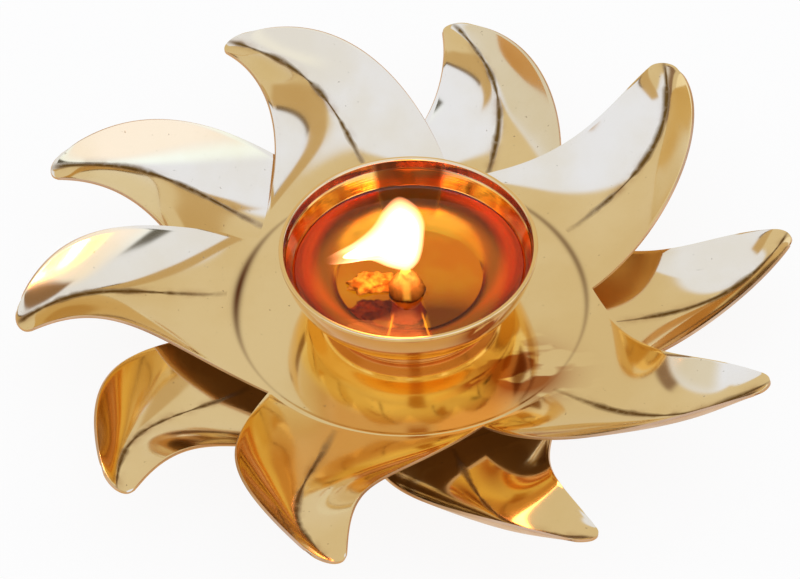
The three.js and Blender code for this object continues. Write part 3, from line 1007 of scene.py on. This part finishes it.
# %% Bowl brass
# The outside's colours are painted reflections: belly, upper front, sides and lip.
BELLY_REFLECTION = (1.0, 0.66, 0.17)
FRONT_REFLECTION = (0.77, 0.37, 0.08)
SIDE_REFLECTION = (0.92, 0.66, 0.28)
LIP_REFLECTION = (0.86, 0.58, 0.22)
# Heat tint with painted flame light, in lit and shaded patches that stand for reflections.
LIT_HEAT_TINT = (1.0, 0.52, 0.10)
SHADED_HEAT_TINT = (0.62, 0.20, 0.04)
SMOKED_LIP = (0.42, 0.26, 0.12)
OILED_BRASS = (0.92, 0.68, 0.19)
STAINED_BRASS = (0.90, 0.52, 0.08)
# Colour that the painted dark reflections multiply in.
PAINTED_DARK = (0.27, 0.18, 0.14)
BASIN_GLOW = (1.0, 0.40, 0.06)
# Colour of the two painted bright lines.
LINE_GLOW = (4.5, 2.0, 0.35)


def outside_reflections(m, x, height):
    """Painted reflections outside: belly, sides and lip, each its own colour by height or by |x|."""
    sides = m.step(m.absolute(x), 17 * MM, 27 * MM)
    upper = m.step(height, BOWL_Z + 0.35 * (RIM_Z - BOWL_Z), BOWL_Z + 0.55 * (RIM_Z - BOWL_Z))
    outer = m.mix(upper, BELLY_REFLECTION, m.mix(sides, FRONT_REFLECTION, SIDE_REFLECTION))
    return m.mix(m.step(height, RIM_Z - 1.3 * MM, RIM_Z - 0.6 * MM), outer, LIP_REFLECTION)


def inner_colour(m, where, height, above_oil):
    """Stained floor under oil, heat tint and painted flame light above, upright streaks of film at the
    lip.
    """
    patches = m.noise(where, 75.0, 2.0)
    # Heat tint and painted flame light, lit and shaded by patches.
    heat_and_flame_light = m.ramp(patches, [(0.42, LIT_HEAT_TINT), (0.62, SHADED_HEAT_TINT)])
    streaks = m.noise(where, 620.0, 2.0, (1.0, 1.0, 0.08))
    streaks = m.ramp(streaks, [(0.35, SMOKED_LIP), (0.70, tuple(1.5 * c for c in SMOKED_LIP))])
    wall = m.mix(m.step(height, high_step * MM, (high_step + 0.3) * MM), heat_and_flame_light, streaks)
    under_oil = m.mix(m.step(patches, 0.40, 0.62), STAINED_BRASS, OILED_BRASS)
    return m.mix(above_oil, under_oil, wall)


def bowl_brass():
    """Puts the inside's colours, painted shade and glow where the bowl is marked inside, below its lip.
    """
    m = new_finish("bowl_brass")
    where = m.where()
    x, y, height = m.parts(where)
    radius = from_axis(m, x, y)
    below_lip = m.left(m.step(height, RIM_Z - 0.5 * MM, RIM_Z - 0.3 * MM))
    inner_side = m.times(m.attribute("inside"), below_lip)
    above_oil = m.step(height, (oil_level - 0.2) * MM, (oil_level + 0.3) * MM)
    # Painted dark reflections darken the inside, and painted lines of light run beside the strip.
    stripe, painted_dark_share, lines = painted_bowl_shade(m, x, y, radius)
    inner = m.mix(painted_dark_share, inner_colour(m, where, height, above_oil), PAINTED_DARK, "MULTIPLY")
    m.shade(Base_Color=m.mix(inner_side, outside_reflections(m, x, height), inner))
    above_floor = m.step(height, basin_floor * MM, (basin_floor + 0.8) * MM)
    in_basin = m.times(m.times(above_floor, m.left(above_oil)), inner_side)
    fading = m.step(height, (basin_floor + 1.5) * MM, (basin_floor + 4.0) * MM)
    # A faint painted glow also lies low on the outside of the bowl.
    low_outside = m.left(m.step(height, (belly_z - 0.5) * MM, (belly_z + 1.0) * MM))
    low_outside = m.times(low_outside, m.left(inner_side))
    passed_on = m.larger(m.minus(in_basin, m.times(fading, 0.9), True), m.times(low_outside, 0.35))
    basin_light = m.mix(passed_on, (0, 0, 0), BASIN_GLOW)
    light = m.mix(m.times(lines, inner_side), basin_light, LINE_GLOW)
    m.shade(Emission_Color=light, Emission_Strength=0.26)
    rough = m.plus(m.times(m.noise(where, 150.0, 4.0), 0.08), m.times(in_basin, 0.12))
    matt = m.times(m.times(stripe, inner_side), 0.55)
    m.shade(Roughness=m.plus(rough, 0.03), Metallic=m.left(matt), Specular_IOR_Level=0.0)
    m.bump(lathe_rings(m, radius, height), RING_DEPTH)
    return m.owner


# %% Brass on the pieces
polished_sheet = petal_brass()
sheet_back = unpolished_brass()
for piece in (upper_petals, lower_petals):
    piece.data.materials.append(polished_sheet)
    piece.data.materials.append(sheet_back)
bowl.data.materials.append(bowl_brass())
# Foot and base take the foot's painted shade.
shaded_foot_brass = turned_brass("shaded_foot_brass", FOOT_SHADED_BRASS, passed_on=0.12)
for piece in (foot, base):
    piece.data.materials.append(shaded_foot_brass)
plain_brass = turned_brass("plain_brass", PLAIN_BRASS, 0.03 * MM)
spacer.data.materials.append(plain_brass)
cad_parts["stud"].material_slots[0].material = plain_brass
print("brass finishes:", [m.name for m in bpy.data.materials if "_brass" in m.name])

# %% [markdown]
# ## Oil, cotton and fire
# The oil is a clear amber liquid with a true index of refraction, so it lifts the floor of the bowl
# to the eye and mirrors the flame. Its colour comes from depth, not from its surface. The cotton is
# dark where it leaves the oil, soaked and in painted shade, orange with painted flame light under
# the oil and paler above, and its twisted core glows under the flame with painted light. The
# loose end has painted shadow in its folds. The shells of the flame only glow.


# %% Amber oil
def amber_oil():
    """Clear liquid with the oil's own index, which takes blue and then green out of deeper light."""
    m = new_finish("amber_oil")
    m.shade(Base_Color=(1, 1, 1), Transmission_Weight=1.0, Roughness=0.0, IOR=1.42)
    m.shade(Specular_Tint=(1.0, 0.7, 0.4))
    depth = m.node("VolumeAbsorption")
    m.feed(depth.inputs["Color"], (0.98, 0.75, 0.05))
    m.feed(depth.inputs["Density"], 200.0)
    m.feed(m.tree.nodes["Material Output"].inputs["Volume"], depth.outputs[0])
    m.bump(m.noise(m.where(), 60.0, 1.0), 0.05 * MM)
    return m.owner


# %% Cotton
# Colours up the cotton: orange with painted flame light under the oil, near black at the waterline,
# where it is soaked and in painted shade, and paler above.
SOAKED_AND_LIT_STOPS = [
    (0.45, (0.70, 0.26, 0.03)),
    (0.52, (0.05, 0.012, 0.002)),
    (0.60, (0.10, 0.022, 0.004)),
    (0.78, (0.20, 0.055, 0.010)),
    (0.92, (0.60, 0.22, 0.05)),
]
# The glow at the stem's end is its ember; down the ball's upper half it is painted flame light.
EMBER_STOPS = [
    (0.54, (0, 0, 0)),
    (0.68, (0.24, 0.06, 0.005)),
    (0.84, (0.50, 0.15, 0.015)),
    (1.0, (1.0, 0.36, 0.06)),
]
CORE_GLOW = (0.95, 0.38, 0.04)
COTTON_SHEEN = (1.0, 0.45, 0.12)
# The next colour is painted shadow in the loose end's folds.
OILY_FOLD_SHADOW = (0.26, 0.07, 0.008)
OILY_GOLD = (0.66, 0.25, 0.03)


def soaked_cotton():
    """Cotton whose colour and glow follow its height, from 0 at its foot to 1 at the stem's end."""
    m = new_finish("soaked_cotton")
    where = m.where()
    x, _, z = m.parts(where)
    height = m.over(m.minus(z, wick_low * MM), (wick_high - wick_low) * MM)
    height = m.plus(height, m.times(m.noise(where, 700.0, 3.0), 0.1))
    # A painted bright strip down the ball's front and back, under the stem.
    beside = m.absolute(m.minus(x, WICK_X * MM))
    core = m.times(m.left(m.step(beside, 0.3 * MM, 1.3 * MM)), m.step(height, 0.54, 0.66))
    ember = m.mix(core, m.ramp(height, EMBER_STOPS), CORE_GLOW)
    m.shade(Base_Color=m.ramp(height, SOAKED_AND_LIT_STOPS), Emission_Color=ember, Emission_Strength=0.8)
    m.shade(Roughness=0.7, Specular_IOR_Level=0.0, Sheen_Weight=0.08, Sheen_Tint=COTTON_SHEEN)
    m.bump(m.noise(where, 1500.0, 4.0, (1.0, 1.0, 0.25)), 0.2 * MM)
    return m.owner


def oily_cotton():
    """The loose end, full of oil: golden, shadow painted in its folds, the flame's light soaking
    through.
    """
    m = new_finish("oily_cotton")
    folds = m.noise(m.where(), 520.0, 4.0)
    colour = m.ramp(folds, [(0.38, OILY_FOLD_SHADOW), (0.62, OILY_GOLD)])
    m.shade(Base_Color=colour, Emission_Color=colour, Emission_Strength=0.22)
    m.shade(Roughness=0.45, Specular_IOR_Level=0.0)
    m.bump(folds, 0.3 * MM)
    return m.owner


oil.data.materials.append(amber_oil())
cotton_material = soaked_cotton()
for piece, material in ((wick, cotton_material), (fibres, cotton_material), (wick_tail, oily_cotton())):
    piece.data.materials.append(material)

# %% Flame finish
FLAME_COLOUR = (1.0, 0.36, 0.15)
FLAME_GLOW = 11.0
MANTLE_COVER = [(0.0, 0.30), (0.62, 0.55), (0.82, 0.22), (1.0, 0.0)]
CORE_COVER = [(0.0, 1.0), (0.80, 1.0), (1.0, 0.3)]


def glow(name, cover):
    """Orange light so strong that its middle looks white; cover gives its density, face to outline."""
    m = new_finish(name)
    m.shade(Base_Color=(0, 0, 0), Specular_IOR_Level=0.0)
    m.shade(Emission_Color=FLAME_COLOUR, Emission_Strength=FLAME_GLOW)
    m.shade(Alpha=m.ramp(m.attribute("edge"), cover))
    return m.owner


flame_mantle.data.materials.append(glow("flame_mantle", MANTLE_COVER))
flame_core.data.materials.append(glow("flame_core", CORE_COVER))
print("materials:", len(bpy.data.materials))

# %% [markdown]
# ## Studio and camera
# Mirror brass shows the studio more than itself. This one is a cool tent, blue enough for yellow
# metal to show it as white. Its wall behind the lamp and a strip straight in front are warm and
# dimmer, and a few small patches are dark. The floor is plain and pale, and a small point light
# stands for the light of the flame.

# %% Floor
FLOOR_SIZE = 6.0
FLOOR_GLOW = 0.9
FLOOR_COLOUR = (0.9, 0.9, 0.9)


def pale_floor():
    """A white floor: mostly its own glow for eyes and mirrors, and the rest lit, for soft shadows."""
    m = new_finish("pale_floor")
    m.shade(Base_Color=FLOOR_COLOUR, Roughness=0.9)
    white = m.node("Emission")
    m.feed(white.inputs["Color"], (1, 1, 1))
    path = m.node("LightPath").outputs
    seen = m.larger(m.larger(path["Is Camera Ray"], path["Is Glossy Ray"]), path["Is Transmission Ray"])
    blend = m.node("MixShader")
    for slot, value in enumerate((m.times(seen, FLOOR_GLOW), m.shader.outputs[0], white.outputs[0])):
        m.feed(blend.inputs[slot], value)
    m.feed(m.tree.nodes["Material Output"].inputs["Surface"], blend.outputs[0])
    return m.owner


half = FLOOR_SIZE / 2
floor_points = np.array([[-half, -half, 0], [half, -half, 0], [half, half, 0], [-half, half, 0]])
floor = add_piece("floor", floor_points, np.array([[0, 1, 2, 3]]))
floor.data.materials.append(pale_floor())


# %% Studio light
WHITE_ROOM = (0.90, 1.13, 2.2)
EVEN_WHITE = (0.9, 0.9, 0.9)
ROOM = [
    ((105, 190), (30, 46), 6, (1.08, 1.42, 2.5)),
    ((-190, -140), (30, 44), 6, (1.0, 1.25, 2.3)),
    ((172, 190), (5, 60), 3, (0.55, 0.42, 0.34)),
    ((-190, -172), (5, 60), 3, (0.55, 0.42, 0.34)),
    ((-105, -58), (-90, 52), 8, (0.78, 0.86, 1.20)),
    ((-57, 52), (-90, 62), 2, (0.76, 0.72, 0.69)),
    ((88, 165), (-90, 33), 8, (1.12, 1.24, 1.95)),
    ((38, 57), (22, 67), 2, (0.62, 0.50, 0.36)),
    ((55, 58.5), (26, 54), 1, (0.22, 0.17, 0.13)),
    ((64, 90), (9, 26), 2, (0.30, 0.20, 0.16)),
    ((102, 113), (37, 46), 1.5, (0.12, 0.13, 0.17)),
    ((-57, -49), (8, 30), 2, (0.28, 0.20, 0.18)),
]


def studio_world():
    """The room by direction: a white tent with the patches of ROOM painted over each other.

    A patch is its azimuths, counted from +Y towards +X, its elevations from the floor up, the
    width of its soft edge, all in degrees, and its colour. Only mirrors and the oil show the
    patches; cotton and floor get even light.
    """
    w = Recipe(bpy.data.worlds.new("studio"))
    bpy.context.scene.world = w.owner
    x, y, z = w.parts(w.node("TexCoord").outputs["Generated"])
    degrees = math.degrees(1)
    azimuth = w.times(w.math("ARCTAN2", x, y), degrees)
    elevation = w.times(w.math("ARCSINE", z), degrees)
    room = WHITE_ROOM
    for azimuths, elevations, soft, colour in ROOM:
        patch = w.times(w.between(azimuth, azimuths, soft), w.between(elevation, elevations, soft))
        room = w.mix(patch, room, colour)
    path = w.node("LightPath").outputs
    seen = w.mix(path["Is Diffuse Ray"], room, EVEN_WHITE)
    seen = w.mix(path["Is Camera Ray"], seen, (1, 1, 1))
    w.feed(w.tree.nodes["Background"].inputs["Color"], seen)


studio_world()
print("room patches:", len(ROOM))

# %% Flame light
FLAME_LIGHT = (1.0, 0.55, 0.2)
FLAME_WATTS = 0.06
lamp_data = bpy.data.lights.new("flame_light", "POINT")
lamp_data.color, lamp_data.energy = FLAME_LIGHT, FLAME_WATTS
lamp_data.shadow_soft_size = 3 * MM
flame_light = bpy.data.objects.new("flame_light", lamp_data)
flame_light.location = Vector((WICK_X - 1, WICK_Y, flame_foot + 9)) * MM
bpy.context.scene.collection.objects.link(flame_light)
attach(flame_light, "wick")

# %% [markdown]
# The camera is worked out from how the rim, the bead and the petal tips lie in the photograph: it
# looks down at about 46 degrees from 0.8 m. Its aim is set by where the middle of the upper disc
# falls in the frame, so no lens shift is needed.

# %% Camera
PHOTO_WIDTH, PHOTO_HEIGHT = 800, 579
FOCAL_PIXELS = 3431.7
DISTANCE = 0.8
ELEVATION = math.radians(45.87)
ROLL = math.radians(-2.49)
CENTRE_PIXEL = (410.61, 301.86)


def aim_camera():
    """Turns the camera so that the disc's middle lies on its pixel, at the photograph's roll."""
    right, up = Vector((1, 0, 0)), Vector((0, math.sin(ELEVATION), math.cos(ELEVATION)))
    ahead = Vector((0, math.cos(ELEVATION), -math.sin(ELEVATION)))
    roll = Matrix.Rotation(-ROLL, 3, "Z")
    off_centre = Vector((
        (CENTRE_PIXEL[0] - PHOTO_WIDTH / 2) / FOCAL_PIXELS,
        -(CENTRE_PIXEL[1] - PHOTO_HEIGHT / 2) / FOCAL_PIXELS,
        1,
    ))
    swing = Vector((0, 0, 1)).rotation_difference(off_centre).to_matrix()
    axes = swing @ roll @ Matrix((right, up, ahead))
    data = bpy.data.cameras.new("camera")
    data.sensor_width = 36
    data.lens = FOCAL_PIXELS / PHOTO_WIDTH * data.sensor_width
    data.clip_start, data.clip_end = 0.01, 20
    camera = bpy.data.objects.new("camera", data)
    place = Vector((0, 0, UPPER_Z)) - DISTANCE * ahead
    turn = Matrix((axes[0], axes[1], -axes[2])).transposed()
    camera.matrix_world = Matrix.Translation(place) @ turn.to_4x4()
    bpy.context.scene.collection.objects.link(camera)
    bpy.context.scene.camera = camera


aim_camera()
bpy.context.scene.view_settings.view_transform = "Standard"
